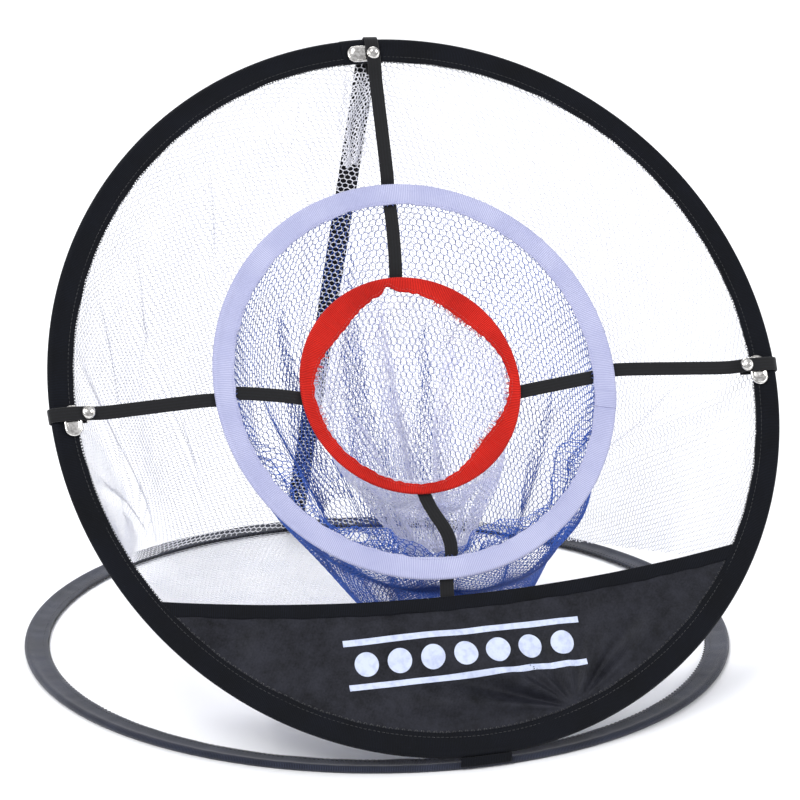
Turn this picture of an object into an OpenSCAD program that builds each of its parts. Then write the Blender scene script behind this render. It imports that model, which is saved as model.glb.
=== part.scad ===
// Pop-up golf chipping net: a flat base hoop, a leaning upright hoop hinged to it at the
// front, two target rings held on elastic straps, and a net behind each of the three hoops.
// Millimetres. The base hoop's centre is the origin, the ground is Z = 0, the front is -Y.

/* [Hoops] */
// Outer diameter of the base hoop and of the upright hoop
hoop_od = 500; // [380:5:640]
// Angle between the upright hoop and the ground
stand_angle = 56.25; // [45:0.25:70]
// Width of the fabric binding on both hoops
band_w = 16.8; // [13:0.1:22]
// Diameter of the binding where it wraps the wire
sleeve_d = 5.2; // [4.8:0.1:7]
// Thickness of the binding's flat hem
hem_t = 2.4; // [1.2:0.1:2.8]
// Diameter of the spring-steel hoop wire
wire_d = 2.2; // [1.6:0.1:2.4]

/* [Target rings] */
// Outer diameter of the middle ring
middle_od = 276; // [230:1:300]
// Width of the middle ring's binding
middle_w = 15; // [12:0.5:18]
// Outer diameter of the inner ring
inner_od = 151; // [120:1:170]
// Width of the inner ring's binding
inner_w = 13.5; // [11:0.5:16]
// Diameter of the ring bindings where they wrap the wire
ring_sleeve_d = 4; // [3.8:0.1:5]
// Thickness of the ring bindings' flat hem
ring_hem_t = 1.8; // [1:0.1:2.4]
// Diameter of the ring wires
ring_wire_d = 1.6; // [1.2:0.1:1.8]

/* [Straps] */
// Width of the elastic straps
strap_w = 9.5; // [7:0.5:13]
// Thickness of the elastic straps
strap_t = 1.2; // [0.8:0.1:1.6]
// Width of the webbing strap down the back
back_strap_w = 15; // [10:1:20]

/* [Panel] */
// Height of the front panel's top edge above the hoop's lowest point, along the hoop
panel_h = 117; // [95:1:125]
// How far the tape on the panel's top edge sags at its middle
tape_sag = 15; // [5:1:20]
// Height of the tape
tape_w = 9.5; // [7:0.5:12]
// Thickness of the panel's cloth
panel_t = 0.8; // [0.6:0.1:1.5]

/* [Nets] */
// Thickness of the net shells
net_t = 0.8; // [0.6:0.1:1.2]
// Half the angle of the base hoop's rear arc that the outer net is sewn to
rear_half_angle = 42; // [30:1:60]
// How far the middle net's floor is above the ground
middle_net_low = 26; // [18:1:50]
// How far the middle net's floor is behind the hoop's plane at that height
middle_net_behind = 190; // [160:1:230]
// How far the inner net's floor is above the ground
inner_net_low = 84; // [70:1:110]
// How far the inner net's floor is behind the hoop's plane at that height
inner_net_behind = 133; // [110:1:170]

/* [Hardware] */
// Diameter of the press-stud caps
cap_d = 9; // [7:0.5:11]
// Length of the oval keepers
keeper_l = 21; // [16:0.5:26]
// Width of the oval keepers
keeper_w = 12; // [10:0.5:14]

/* [Hidden] */
$fn = 96;

hoop_r = hoop_od / 2;
middle_r = middle_od / 2;
inner_r = inner_od / 2;

// Clearances
gap = 0.3;
strap_gap = 1;
wire_gap = 0.15;
ferrule_wall = 0.5;
sleeve_gap = 0.1;
ferrule_l = 18;
ring_ferrule_l = 14;

// The rings' centres in the hoop's plane, measured from the hoop's centre
middle_c = [-3, 6];
inner_c = [-8, 2];

// The strap ends that loop round the hoop
loop_in = strap_t + sleeve_d / 2 + 1.4;
loop_back = strap_t + sleeve_d / 2 + gap;
loop_reach = 30;
stud_h = 0.8;

// How far behind the hoop's middle plane the outer net starts, clear of the press studs
mouth_n = -loop_back - stud_h - gap - net_t;

// How far the upright hoop's middle plane is from the fold's axis, along the hoop's normal:
// far enough for the strap ends behind it to clear the base hoop when folded
plane_n = loop_back + 0.4;

// The base hoop's underside is pressed flat by this much where it lies on the ground
base_flat = 0.15;
base_z = sleeve_d / 2 - base_flat;

// The fold's axis runs along X above the base hoop, with the two hoops' fronts in line
pivot_y = -hoop_r + sleeve_d / 2 * (1 - cos(stand_angle)) + plane_n * sin(stand_angle);
pivot_z = sleeve_d + gap;

// Where the press studs sit, as distances from the hoop's centre
snap_top = hoop_r - 12.5;
snap_left = hoop_r - 23.5;
snap_right = hoop_r - 22;

// The tape's arc: it passes through the panel's top corners and sags at its middle
tape_v = panel_h - hoop_r;
tape_half = sqrt(pow(hoop_r - band_w, 2) - pow(tape_v, 2));
tape_r = (tape_half * tape_half + tape_sag * tape_sag) / (2 * tape_sag);
tape_mid = tape_v - tape_sag;

// ---- helpers -------------------------------------------------------------------------

// Puts a shape drawn round the hoop's centre into the upright hoop's plane
module on_upright() {
    translate([0, pivot_y, pivot_z])
        rotate([stand_angle, 0, 0])
            translate([0, hoop_r, plane_n])
                children();
}

// The same, for a point: across, up the slope from the hoop's centre, out to the front
function upright_point(x, v, n = 0) = [
    x,
    pivot_y + (hoop_r + v) * cos(stand_angle) - (plane_n + n) * sin(stand_angle),
    pivot_z + (hoop_r + v) * sin(stand_angle) + (plane_n + n) * cos(stand_angle)
];

// A binding's section: a round sleeve at the outer edge and a flat hem inside it
module binding_section(r, w, sleeve, hem, bore) {
    difference() {
        union() {
            translate([r - sleeve / 2, 0])
                circle(d = sleeve, $fn = 40);
            translate([r - w + hem / 2, -hem / 2])
                square([w - sleeve / 2 - hem / 2, hem]);
            translate([r - w + hem / 2, 0])
                circle(d = hem, $fn = 24);
        }
        translate([r - sleeve / 2, 0])
            circle(d = bore, $fn = 32);
    }
}

module binding(r, w, sleeve, hem, bore) {
    rotate_extrude($fn = 180)
        binding_section(r, w, sleeve, hem, bore);
}

// A wire bent to a ring, with a hair's gap where its ends meet inside the ferrule
module ring_wire(r, d) {
    rotate([0, 0, 90])
        rotate_extrude(angle = 359.8, $fn = 180)
            translate([r, 0])
                circle(d = d, $fn = 24);
}

// A crimped sleeve over the wire's two ends
module ferrule(r, d, length) {
    turn = length / r * 180 / PI;
    rotate([0, 0, 90 - turn / 2])
        rotate_extrude(angle = turn, $fn = 180)
            translate([r, 0])
                difference() {
                    circle(d = d + 2 * wire_gap + 2 * ferrule_wall, $fn = 24);
                    circle(d = d + 2 * wire_gap, $fn = 24);
                }
}

function bore_for(d) = d + 2 * (wire_gap + ferrule_wall + sleeve_gap);

// A flat strap in the hoop's plane between two points
module strap_span(a, b, w = strap_w) {
    run = b - a;
    translate([a[0], a[1], 0])
        rotate([0, 0, atan2(run[1], run[0])])
            translate([0, -w / 2, -strap_t / 2])
                cube([norm(run), w, strap_t]);
}

// A strap's end that goes round the hoop, drawn for a strap that leaves along -X
module strap_loop() {
    outside = hoop_r + gap + strap_t;
    translate([0, strap_w / 2, 0])
        rotate([90, 0, 0])
            linear_extrude(height = strap_w)
                difference() {
                    translate([outside - loop_reach, -loop_back])
                        square([loop_reach, loop_back + loop_in]);
                    translate([outside - loop_reach + strap_t, strap_t - loop_back])
                        square([loop_reach - 2 * strap_t, loop_back + loop_in - 2 * strap_t]);
                }
}

loop_end = hoop_r + gap + strap_t - loop_reach;

// A thin closed shell from a grid of loops: open at the first loop, closed at the last.
// Each loop runs left to right over its top half and back over its bottom half.
module net_shell(grid) {
    rows = len(grid);
    n = len(grid[0]);
    half = n / 2;
    last = rows - 1;
    inside = [for (j = [0:last]) [for (i = [0:n - 1])
        let (
            round_it = grid[j][(i + 1) % n] - grid[j][(i + n - 1) % n],
            along = grid[min(j + 1, last)][i] - grid[max(j - 1, 0)][i],
            out = cross(along, round_it),
            lift = j == last ? unit(middle_of(grid[last - 1]) - middle_of(grid[last])) : [0, 0, 0]
        )
        grid[j][i] - net_t * unit(out) + net_t * lift]];
    points = [
        for (j = [0:last]) for (p = grid[j]) p,
        for (j = [0:last]) for (p = inside[j]) p
    ];
    shift = rows * n;
    faces = [
        for (j = [0:last - 1]) for (i = [0:n - 1]) each [
            [j * n + i, j * n + (i + 1) % n, (j + 1) * n + i],
            [(j + 1) * n + i, j * n + (i + 1) % n, (j + 1) * n + (i + 1) % n],
            [shift + j * n + i, shift + (j + 1) * n + i, shift + j * n + (i + 1) % n],
            [shift + (j + 1) * n + i, shift + (j + 1) * n + (i + 1) % n,
                shift + j * n + (i + 1) % n]
        ],
        for (i = [0:n - 1]) each [
            [i, shift + i, (i + 1) % n],
            [(i + 1) % n, shift + i, shift + (i + 1) % n]
        ],
        for (i = [0:half - 2]) each [
            [last * n + i, last * n + i + 1, last * n + n - 1 - i],
            [last * n + n - 1 - i, last * n + i + 1, last * n + n - 2 - i],
            [shift + last * n + i, shift + last * n + n - 1 - i, shift + last * n + i + 1],
            [shift + last * n + n - 1 - i, shift + last * n + n - 2 - i,
                shift + last * n + i + 1]
        ]
    ];
    polyhedron(points = points, faces = faces, convexity = 6);
}

function unit(v) = v / norm(v);
function sum_of(points, k = 0) =
    k == len(points) - 1 ? points[k] : points[k] + sum_of(points, k + 1);
function middle_of(points) = sum_of(points) / len(points);
function mix(a, b, s) = a + (b - a) * s;

// A net bag behind a ring: its loops shrink and level out from the ring to the bag's floor
bag_steps = 7;
bag_sides = 36;
function bag_grid(centre, r, low, behind, side, tip) = [for (j = [0:bag_steps])
    let (
        s = j / bag_steps,
        start = upright_point(centre[0], centre[1], -ring_sleeve_d / 2 - gap - net_t),
        foot = upright_point(0, -hoop_r),
        end = [centre[0] + side, foot[1] + (low - foot[2]) / tan(stand_angle) + behind, low],
        spot = mix(start, end, s) + [0, (end[1] - start[1]) * 0.25 * sin(180 * s), 0],
        turn = stand_angle * (1 - s) * (1 - 0.4 * s),
        reach = r * (tip + (1 - tip) * (1 - pow(s, 1.6)))
    )
    [for (i = [0:bag_sides - 1])
        let (round = 180 - (i + 0.5) * 360 / bag_sides)
        spot + reach * [cos(round), sin(round) * cos(turn), sin(round) * sin(turn)]]];

// The outer net: its loops run from the D above the panel to the base hoop's rear arc.
// Its floor falls steeply behind the panel and is drawn in there, where the cloth gathers.
net_steps = 8;
net_half = 24;
function outer_mouth(i) = i < net_half
    ? let (
        end_angle = 180 - acos((tape_v - 4) / -(hoop_r - band_w)),
        turn = mix(-end_angle, end_angle, i / (net_half - 1)),
        r = hoop_r - band_w - gap
    ) upright_point(r * sin(turn), r * cos(turn), mouth_n)
    : let (
        k = (i - net_half) / (net_half - 1),
        x = mix(tape_half - 6, 6 - tape_half, k),
        v = tape_mid + tape_r - sqrt(tape_r * tape_r - x * x)
    ) upright_point(x, v - 2, mouth_n);
function outer_rear(i) =
    let (
        k = i < net_half ? i / (net_half - 1) : 1 - (i - net_half) / (net_half - 1),
        turn = mix(-rear_half_angle, rear_half_angle, k),
        r = hoop_r - band_w - gap - net_t
    ) [r * sin(turn), r * cos(turn), i < net_half ? 4.2 : 1];
function outer_grid() = [for (j = [0:net_steps])
    let (s = j / net_steps)
    [for (i = [0:2 * net_half - 1])
        let (
            a = outer_mouth(i),
            b = outer_rear(i),
            p = mix(a, b, s),
            drop = 1 - pow(1 - s, 14)
        )
        i < net_half ? p
            : [p[0] * (1 - 0.5 * drop * (1 - s)), p[1], mix(a[2], b[2], drop)]]];

// ---- base hoop -----------------------------------------------------------------------

module base_wire() {
    color("silver")
        translate([0, 0, base_z])
            ring_wire(hoop_r - sleeve_d / 2, wire_d);
}

module base_ferrule() {
    color("gold")
        translate([0, 0, base_z])
            ferrule(hoop_r - sleeve_d / 2, wire_d, ferrule_l);
}

module base_binding() {
    color("dimgray")
        rotate_extrude($fn = 180)
            difference() {
                translate([0, base_z])
                    binding_section(hoop_r, band_w, sleeve_d, hem_t, bore_for(wire_d));
                translate([0, -sleeve_d])
                    square([hoop_od, sleeve_d]);
            }
}

// ---- upright hoop --------------------------------------------------------------------

module hoop_wire() {
    color("silver")
        on_upright()
            ring_wire(hoop_r - sleeve_d / 2, wire_d);
}

module hoop_ferrule() {
    color("gold")
        on_upright()
            ferrule(hoop_r - sleeve_d / 2, wire_d, ferrule_l);
}

module hoop_binding() {
    color("black")
        on_upright()
            binding(hoop_r, band_w, sleeve_d, hem_t, bore_for(wire_d));
}

// ---- target rings --------------------------------------------------------------------

module at_ring(c) {
    on_upright()
        translate([c[0], c[1], 0])
            children();
}

module middle_wire() {
    color("silver")
        at_ring(middle_c)
            ring_wire(middle_r - ring_sleeve_d / 2, ring_wire_d);
}

module middle_ferrule() {
    color("gold")
        at_ring(middle_c)
            ferrule(middle_r - ring_sleeve_d / 2, ring_wire_d, ring_ferrule_l);
}

module middle_binding() {
    color("lavender")
        at_ring(middle_c)
            binding(middle_r, middle_w, ring_sleeve_d, ring_hem_t, bore_for(ring_wire_d));
}

module inner_wire() {
    color("silver")
        at_ring(inner_c)
            ring_wire(inner_r - ring_sleeve_d / 2, ring_wire_d);
}

module inner_ferrule() {
    color("gold")
        at_ring(inner_c)
            ferrule(inner_r - ring_sleeve_d / 2, ring_wire_d, ring_ferrule_l);
}

module inner_binding() {
    color("red")
        at_ring(inner_c)
            binding(inner_r, inner_w, ring_sleeve_d, ring_hem_t, bore_for(ring_wire_d));
}

// ---- nets ----------------------------------------------------------------------------

module outer_net() {
    color("white", 0.5)
        net_shell(outer_grid());
}

module middle_net() {
    color("royalblue", 0.5)
        net_shell(bag_grid(middle_c, middle_r - 6, middle_net_low, middle_net_behind, 47, 0.36));
}

module inner_net() {
    color("lavender", 0.6)
        net_shell(bag_grid(inner_c, inner_r - 5, inner_net_low, inner_net_behind, 34, 0.3));
}

// ---- front panel ---------------------------------------------------------------------

// Everything below the tape's lower or upper edge, inside the hoop
module below_tape(offset_v) {
    intersection() {
        circle(r = hoop_r - band_w - gap, $fn = 180);
        difference() {
            translate([-hoop_r, -hoop_r])
                square([hoop_od, tape_mid + offset_v + tape_sag + hoop_r]);
            translate([0, tape_mid + offset_v + tape_r])
                circle(r = tape_r, $fn = 360);
        }
    }
}

module front_panel() {
    color("darkslategray")
        on_upright()
            translate([0, 0, -panel_t / 2])
                linear_extrude(height = panel_t)
                    below_tape(-tape_w / 2 - gap);
}

module panel_tape() {
    color("black")
        on_upright()
            translate([0, 0, -hem_t / 2])
                linear_extrude(height = hem_t)
                    difference() {
                        below_tape(tape_w / 2);
                        below_tape(-tape_w / 2);
                    }
}

// A plain printed device: a row of discs between two bars
disc_count = 7;
disc_d = 16;
module panel_print() {
    color("white")
        on_upright()
            translate([-2, tape_mid - 34, panel_t / 2 + 0.02])
                linear_extrude(height = 0.25)
                    print_shape();
}

module print_shape() {
    for (k = [0:disc_count - 1])
        translate([(k - (disc_count - 1) / 2) * 22, 0])
            circle(d = disc_d, $fn = 32);
    for (side = [-1, 1])
        translate([-80, side * 14.5 - 2])
            square([160, 4]);
}

// ---- straps --------------------------------------------------------------------------

// One strap from the hoop to the middle ring, leaving the hoop at the given angle
module outer_strap(turn) {
    from = loop_end * [cos(turn), sin(turn)];
    to = middle_c + (middle_r + strap_gap) * [cos(turn), sin(turn)];
    color("black")
        on_upright() {
            rotate([0, 0, turn])
                strap_loop();
            strap_span(from, to);
        }
}

module strap_top() {
    outer_strap(90);
}

module strap_left() {
    outer_strap(180);
}

module strap_right() {
    outer_strap(0);
}

module strap_bottom() {
    color("black")
        on_upright()
            strap_span([middle_c[0], middle_c[1] - middle_r - strap_gap],
                [middle_c[0], tape_mid + tape_w / 2 + strap_gap]);
}

// One strap from the middle ring's hem to the inner ring
module inner_strap(turn) {
    way = [cos(turn), sin(turn)];
    color("black")
        on_upright()
            strap_span(middle_c + (middle_r - middle_w - strap_gap) * way,
                inner_c + (inner_r + strap_gap) * way);
}

module inner_strap_top() {
    inner_strap(90);
}

module inner_strap_left() {
    inner_strap(180);
}

module inner_strap_right() {
    inner_strap(0);
}

module inner_strap_bottom() {
    inner_strap(-90);
}

// The webbing that holds the upright hoop's top to the base hoop's rear, outside the net
module back_strap() {
    top = upright_point(0, hoop_r - band_w - gap, mouth_n);
    rear = [0, hoop_r - band_w - gap, 4.4];
    run = rear - top;
    color("black")
        translate(top)
            rotate([atan2(run[2], run[1]), 0, 0])
                translate([-back_strap_w / 2, 0.6, 0.6])
                    cube([back_strap_w, norm(run) - 1.2, strap_t]);
}

// ---- hardware ------------------------------------------------------------------------

snap_spots = [[90, snap_top], [180, snap_left], [0, snap_right]];

module snap_caps() {
    color("silver")
        on_upright()
            for (s = snap_spots)
                rotate([0, 0, s[0]])
                    translate([s[1], 0, loop_in])
                        snap_cap();
}

// A low dome on a thin disc
module snap_cap() {
    cylinder(d = cap_d, h = 0.7, $fn = 48);
    translate([0, 0, 0.7])
        cylinder(d1 = cap_d - 1, d2 = cap_d * 0.55, h = 1.3, $fn = 48);
}

module snap_studs() {
    color("silver")
        on_upright()
            for (s = snap_spots)
                rotate([0, 0, s[0]])
                    translate([s[1], 0, -loop_back - stud_h])
                        cylinder(d = cap_d - 1.5, h = stud_h, $fn = 48);
}

module keepers() {
    color("silver")
        on_upright()
            for (s = snap_spots)
                rotate([0, 0, s[0]])
                    translate([hoop_r - 13.5, 0, sleeve_d / 2 + 0.05])
                        keeper();
}

// An oval plate that lies along the hoop under the strap
module keeper() {
    linear_extrude(height = 1)
        union() {
            square([keeper_w, keeper_l - keeper_w], center = true);
            for (side = [-1, 1])
                translate([0, side * (keeper_l - keeper_w) / 2])
                    circle(d = keeper_w, $fn = 40);
        }
}

// The sewn tape that joins the two hoops at the front and lets them fold
module hinge_tape() {
    turn = 8;
    color("black")
        translate([0, 0, base_z])
            rotate([0, 0, -90 - turn / 2])
                rotate_extrude(angle = turn, $fn = 360)
                    translate([hoop_r + 1, 0])
                        square([0.8, pivot_z + 1.5]);
}

base_wire();
base_ferrule();
base_binding();
hoop_wire();
hoop_ferrule();
hoop_binding();
middle_wire();
middle_ferrule();
middle_binding();
inner_wire();
inner_ferrule();
inner_binding();
outer_net();
middle_net();
inner_net();
front_panel();
panel_tape();
panel_print();
strap_top();
strap_left();
strap_right();
strap_bottom();
inner_strap_top();
inner_strap_left();
inner_strap_right();
inner_strap_bottom();
back_strap();
snap_caps();
snap_studs();
keepers();
hinge_tape();
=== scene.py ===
import math
import bmesh
import bpy
import numpy as np
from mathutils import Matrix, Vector


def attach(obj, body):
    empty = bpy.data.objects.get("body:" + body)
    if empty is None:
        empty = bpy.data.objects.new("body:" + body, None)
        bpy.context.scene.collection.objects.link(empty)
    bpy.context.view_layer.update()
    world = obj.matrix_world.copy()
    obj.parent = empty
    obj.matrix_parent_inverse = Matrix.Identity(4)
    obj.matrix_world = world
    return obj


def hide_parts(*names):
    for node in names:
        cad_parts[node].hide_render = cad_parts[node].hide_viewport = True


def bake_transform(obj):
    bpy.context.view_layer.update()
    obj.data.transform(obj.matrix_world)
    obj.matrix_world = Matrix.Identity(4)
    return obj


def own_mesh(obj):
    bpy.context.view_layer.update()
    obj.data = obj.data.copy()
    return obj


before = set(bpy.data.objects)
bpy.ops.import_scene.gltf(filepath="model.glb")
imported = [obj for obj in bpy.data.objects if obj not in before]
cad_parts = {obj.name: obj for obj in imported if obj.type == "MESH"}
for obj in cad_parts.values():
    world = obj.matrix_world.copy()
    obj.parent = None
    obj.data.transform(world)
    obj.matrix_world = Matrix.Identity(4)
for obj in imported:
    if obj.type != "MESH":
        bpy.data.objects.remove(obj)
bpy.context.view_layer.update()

# ---- Ground and backdrop ---------------------------------------------------------------
# A matt white paper sweep, as a product is stood on for a catalogue: flat under the net and
# curved up behind it, so the ground has no horizon.


def colour(hex_code):
    """An sRGB hex colour as the linear values that a socket takes."""
    parts = [int(hex_code[k:k + 2], 16) / 255 for k in (0, 2, 4)]
    return tuple(p / 12.92 if p <= 0.04045 else ((p + 0.055) / 1.055) ** 2.4 for p in parts) + (1,)


def add(tree, kind, links=None, **settings):
    """Adds a node. links gives its inputs: a value, or (node, output) to join."""
    made = tree.nodes.new(kind)
    for key, value in settings.items():
        setattr(made, key, value)
    for socket, value in (links or {}).items():
        if isinstance(value, tuple) and isinstance(value[0], bpy.types.Node):
            tree.links.new(value[0].outputs[value[1]], made.inputs[socket])
        else:
            made.inputs[socket].default_value = value
    return made


def new_material(name, **shader_values):
    """A material with a bare shader: returns the material, its tree and the shader."""
    material = bpy.data.materials.new(name)
    material.use_nodes = True
    tree = material.node_tree
    tree.nodes.clear()
    shader = add(tree, "ShaderNodeBsdfPrincipled", shader_values)
    add(tree, "ShaderNodeOutputMaterial", {"Surface": (shader, "BSDF")})
    return material, tree, shader


def dress(tree, shader, tone, dark, light, low, high, relief=None, depth_mm=0.0, strength=0.0):
    """Ends a material: dark where the tone is under low, light over high, and a relief."""
    ramp = add(tree, "ShaderNodeValToRGB", {"Fac": tone})
    for stop, at, tint in zip(ramp.color_ramp.elements, (low, high), (dark, light)):
        stop.position, stop.color = at, colour(tint)
    tree.links.new(ramp.outputs["Color"], shader.inputs["Base Color"])
    if relief:
        bump = add(tree, "ShaderNodeBump", {
            "Height": relief, "Distance": depth_mm / 1000, "Strength": strength})
        tree.links.new(bump.outputs["Normal"], shader.inputs["Normal"])


def linked(name, mesh, material=None):
    """A new object for a mesh, in the scene."""
    if material:
        mesh.materials.append(material)
    piece = bpy.data.objects.new(name, mesh)
    bpy.context.scene.collection.objects.link(piece)
    return piece


def face_outward(mesh):
    """Turns a closed mesh's faces outward."""
    shape = bmesh.new()
    shape.from_mesh(mesh)
    bmesh.ops.recalc_face_normals(shape, faces=shape.faces)
    shape.to_mesh(mesh)
    shape.free()


def skin(name, grid, along_closed, across_closed, along_m, across_m, material, caps=False):
    """A mesh over a grid of points in metres, with a UV map in metres: U along, V across."""
    rows, cols = grid.shape[:2]
    i, j = np.meshgrid(np.arange(rows if along_closed else rows - 1),
                       np.arange(cols if across_closed else cols - 1), indexing="ij")
    i, j = i.ravel(), j.ravel()
    corners = [(i, j), (i, j + 1), (i + 1, j + 1), (i + 1, j)]
    faces = np.stack([(a % rows) * cols + b % cols for a, b in corners], -1).tolist()
    if caps:
        faces += [list(range(cols))[::-1], [(rows - 1) * cols + k for k in range(cols)]]
    mesh = bpy.data.meshes.new(name)
    mesh.from_pydata(grid.reshape(-1, 3).tolist(), [], faces)
    uv = np.stack([np.stack([a * along_m / max(rows - 1, 1), b * across_m / max(cols - 1, 1)], -1)
                   for a, b in corners], 1).reshape(-1, 2)
    if caps:
        uv = np.concatenate([uv, np.zeros((2 * cols, 2))])
    layer = mesh.uv_layers.new(name="Cloth")
    layer.data.foreach_set("uv", uv.ravel().astype(np.float32))
    mesh.polygons.foreach_set("use_smooth", [True] * len(mesh.polygons))
    if across_closed and (along_closed or caps):
        face_outward(mesh)
    return linked(name, mesh, material)


# Matt coated paper: almost white, with a faint mottle that keeps it from looking blank
paper, tree, shader = new_material("coated_paper_matt", Roughness=0.85)
where = add(tree, "ShaderNodeTexCoord")
mottle = add(tree, "ShaderNodeTexNoise", {"Vector": (where, "Object"), "Scale": 3.0, "Detail": 4.0})
dress(tree, shader, (mottle, "Fac"), "F4F5F7", "FBFBFC", 0.0, 1.0)

profile = [(-4.0, 0.0), (2.0, 0.0), (2.9, 0.08), (3.5, 0.35), (3.9, 0.9), (4.0, 1.6), (4.0, 5.0)]
sweep_grid = np.array([[(x, y, z) for x in np.linspace(-6, 6, 9)] for y, z in profile])
sweep = skin("paper_sweep", sweep_grid, False, False, 8.0, 12.0, paper)

# ---- Studio light and camera -----------------------------------------------------------
# Large softboxes in front, overhead and at the left, with a bright room around them. The
# camera is a long lens, a little to the left of the net and above it.
world = bpy.data.worlds.new("white_room")
bpy.context.scene.world = world
world.use_nodes = True
world.node_tree.nodes["Background"].inputs["Color"].default_value = colour("F7F8FC")
world.node_tree.nodes["Background"].inputs["Strength"].default_value = 0.68

for name, place, size, watts in [("key_softbox", (-1.5, -1.7, 2.4), 1.2, 66),
                                 ("fill_softbox", (1.9, -1.5, 1.3), 1.5, 18),
                                 ("back_softbox", (0.3, 1.9, 2.2), 1.6, 40)]:
    light = bpy.data.lights.new(name, "AREA")
    light.shape = "SQUARE"
    light.size = size
    light.energy = watts
    lamp = bpy.data.objects.new(name, light)
    lamp.location = place
    lamp.rotation_euler = (Vector((0, -0.05, 0.15)) - Vector(place)).to_track_quat("-Z", "Y").to_euler()
    bpy.context.scene.collection.objects.link(lamp)

lens = bpy.data.cameras.new("long_lens")
lens.sensor_width = 36
lens.lens = 144.1
camera = bpy.data.objects.new("camera", lens)
camera.location = (-0.598, -2.0563, 0.815)
aim = Vector((-0.0129, -0.1, 0.2048))
camera.rotation_euler = (aim - camera.location).to_track_quat("-Z", "Y").to_euler()
bpy.context.scene.collection.objects.link(camera)
bpy.context.scene.camera = camera
bpy.context.scene.view_settings.view_transform = "Standard"

# ---- Base hoop's binding ---------------------------------------------------------------
# A polyester tape folded round the spring wire and sewn shut: round at the outer edge,
# where the wire is, and flat inside it. Its ribs run across the tape.


# A Wave Texture of this scale has one band to a metre
WAVE_OF_ONE = 0.31416


def ribbed_tape(name, main, shade, rib_mm, depth_mm, sheen):
    """Grosgrain tape: a crosswise rib every rib_mm, with painted shade in its grooves and a soft mottle that is part
    wear and part painted light and shade.
    """
    material, tree, shader = new_material(name, Roughness=0.72, **{
        "Sheen Weight": sheen, "Sheen Roughness": 0.45, "Specular IOR Level": 0.13})
    uv = add(tree, "ShaderNodeUVMap", uv_map="Cloth")
    rib = add(tree, "ShaderNodeTexWave", {
        "Vector": (uv, "UV"), "Scale": WAVE_OF_ONE / (rib_mm / 1000), "Distortion": 0.6,
        "Detail": 1.0, "Detail Scale": 0.6}, wave_type="BANDS", bands_direction="X")
    where = add(tree, "ShaderNodeTexCoord")
    # A mottle that stands partly for wear and partly for painted light and shade across the tape
    wear_and_painted_light = add(tree, "ShaderNodeTexNoise", {"Vector": (where, "Object"), "Scale": 38.0, "Detail": 5.0})
    fibre = add(tree, "ShaderNodeTexNoise", {"Vector": (where, "Object"), "Scale": 900.0, "Detail": 2.0})
    # Painted shade: the colour is darker in the rib grooves and where the mottle is low
    rib_shade_and_wear = add(tree, "ShaderNodeMath", {0: (wear_and_painted_light, "Fac"), 1: (rib, "Fac")}, operation="MULTIPLY")
    height = add(tree, "ShaderNodeMath", {
        0: (fibre, "Fac"), 1: 0.35, 2: (rib, "Fac")}, operation="MULTIPLY_ADD")
    dress(tree, shader, (rib_shade_and_wear, "Value"), shade, main, 0.1, 0.62, (height, "Value"), depth_mm, 0.7)
    return material


def waves(turn, counts, seed):
    """A smooth uneven ripple round a ring, between about -1 and 1."""
    dice = np.random.RandomState(seed)
    total = sum(dice.uniform(0.5, 1) * np.sin(c * turn + dice.uniform(0, 6.28)) for c in counts)
    return total / math.sqrt(len(counts))


def binding(name, place, radius, width, sleeve, hem, material, steps, seed, ripple=0.35, pucker=1.0):
    """A ring of binding. place turns (across, up, out) in millimetres into metres; width
    is a function of the angle, so a hem can be pulled narrower at its straps."""
    turn = np.linspace(0, 2 * math.pi, steps, endpoint=False)
    half = sleeve / 2
    wide = width(turn) + ripple * waves(turn, (23, 37, 51, 74), seed)
    share = np.array([0.0, 0.02, 0.06, 0.12, 0.2, 0.3, 0.42, 0.56, 0.7, 0.84, 0.94, 0.985, 1.0])
    depth = share[None, :] * wide[:, None]
    thick = hem / 2 + (half - hem / 2) * np.exp(-np.clip(depth - half, 0, None) ** 2 / (half * 1.1) ** 2)
    thick = np.where(depth < half, np.sqrt(np.clip(half ** 2 - (depth - half) ** 2, 0, None)), thick)
    thick[:, -2] *= 0.75
    thick[:, -1] = 0
    thick += 0.10 * pucker * waves(turn, (61, 83, 117), seed + 1)[:, None] * (share * (1 - share) * 4)[None, :]
    lean = 0.22 * pucker * waves(turn, (9, 17, 29, 43), seed + 2)[:, None] * share[None, :]
    r = radius - depth
    front = np.stack([r * np.cos(turn)[:, None], r * np.sin(turn)[:, None], thick + lean], -1)
    back = np.stack([r * np.cos(turn)[:, None], r * np.sin(turn)[:, None], lean - thick], -1)
    ring = np.concatenate([front, back[:, -2:0:-1]], 1)
    return skin(name, place(ring), True, True, 2 * math.pi * radius / 1000, 2 * wide.mean() / 1000, material)


HOOP_RADIUS = 250


def hoop_wide(t):
    """The hoop binding's width, which is the same all round."""
    return 16.8 + 0 * t


def on_base(p):
    """Metres, from millimetres round the base hoop's middle plane."""
    return (p + np.array([0, 0, 2.45])) * 0.001


# Black polyester grosgrain, with a navy cast and a dull sheen where it turns over the wire
black_tape = ribbed_tape("black_polyester_grosgrain", "0D111C", "030407", 1.1, 0.2, 0.04)

# The base hoop's tape is the same cloth, painted lighter and greyer: painted light, for the flat hoop that faces up to
# the lamps
base_tape_painted_lighter = ribbed_tape("polyester_grosgrain_painted_lighter", "3A3F52", "15171F", 1.1, 0.2, 0.3)

base_binding = binding("base_hoop_binding", on_base, HOOP_RADIUS, hoop_wide, 4.9, 2.2, base_tape_painted_lighter, 900, 3)
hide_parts("base_binding")
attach(base_binding, "base")

# ---- Upright hoop's binding ------------------------------------------------------------
# The same tape on the hoop that leans back. The tape's two ends lap over each other at the
# top, beside the top strap, which leaves a sleeve 27 mm long with a fold at each end.
LEAN_DEG = 56.25
lean = math.radians(LEAN_DEG)
HINGE_Y, HINGE_Z = -245.103, 5.5


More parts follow.
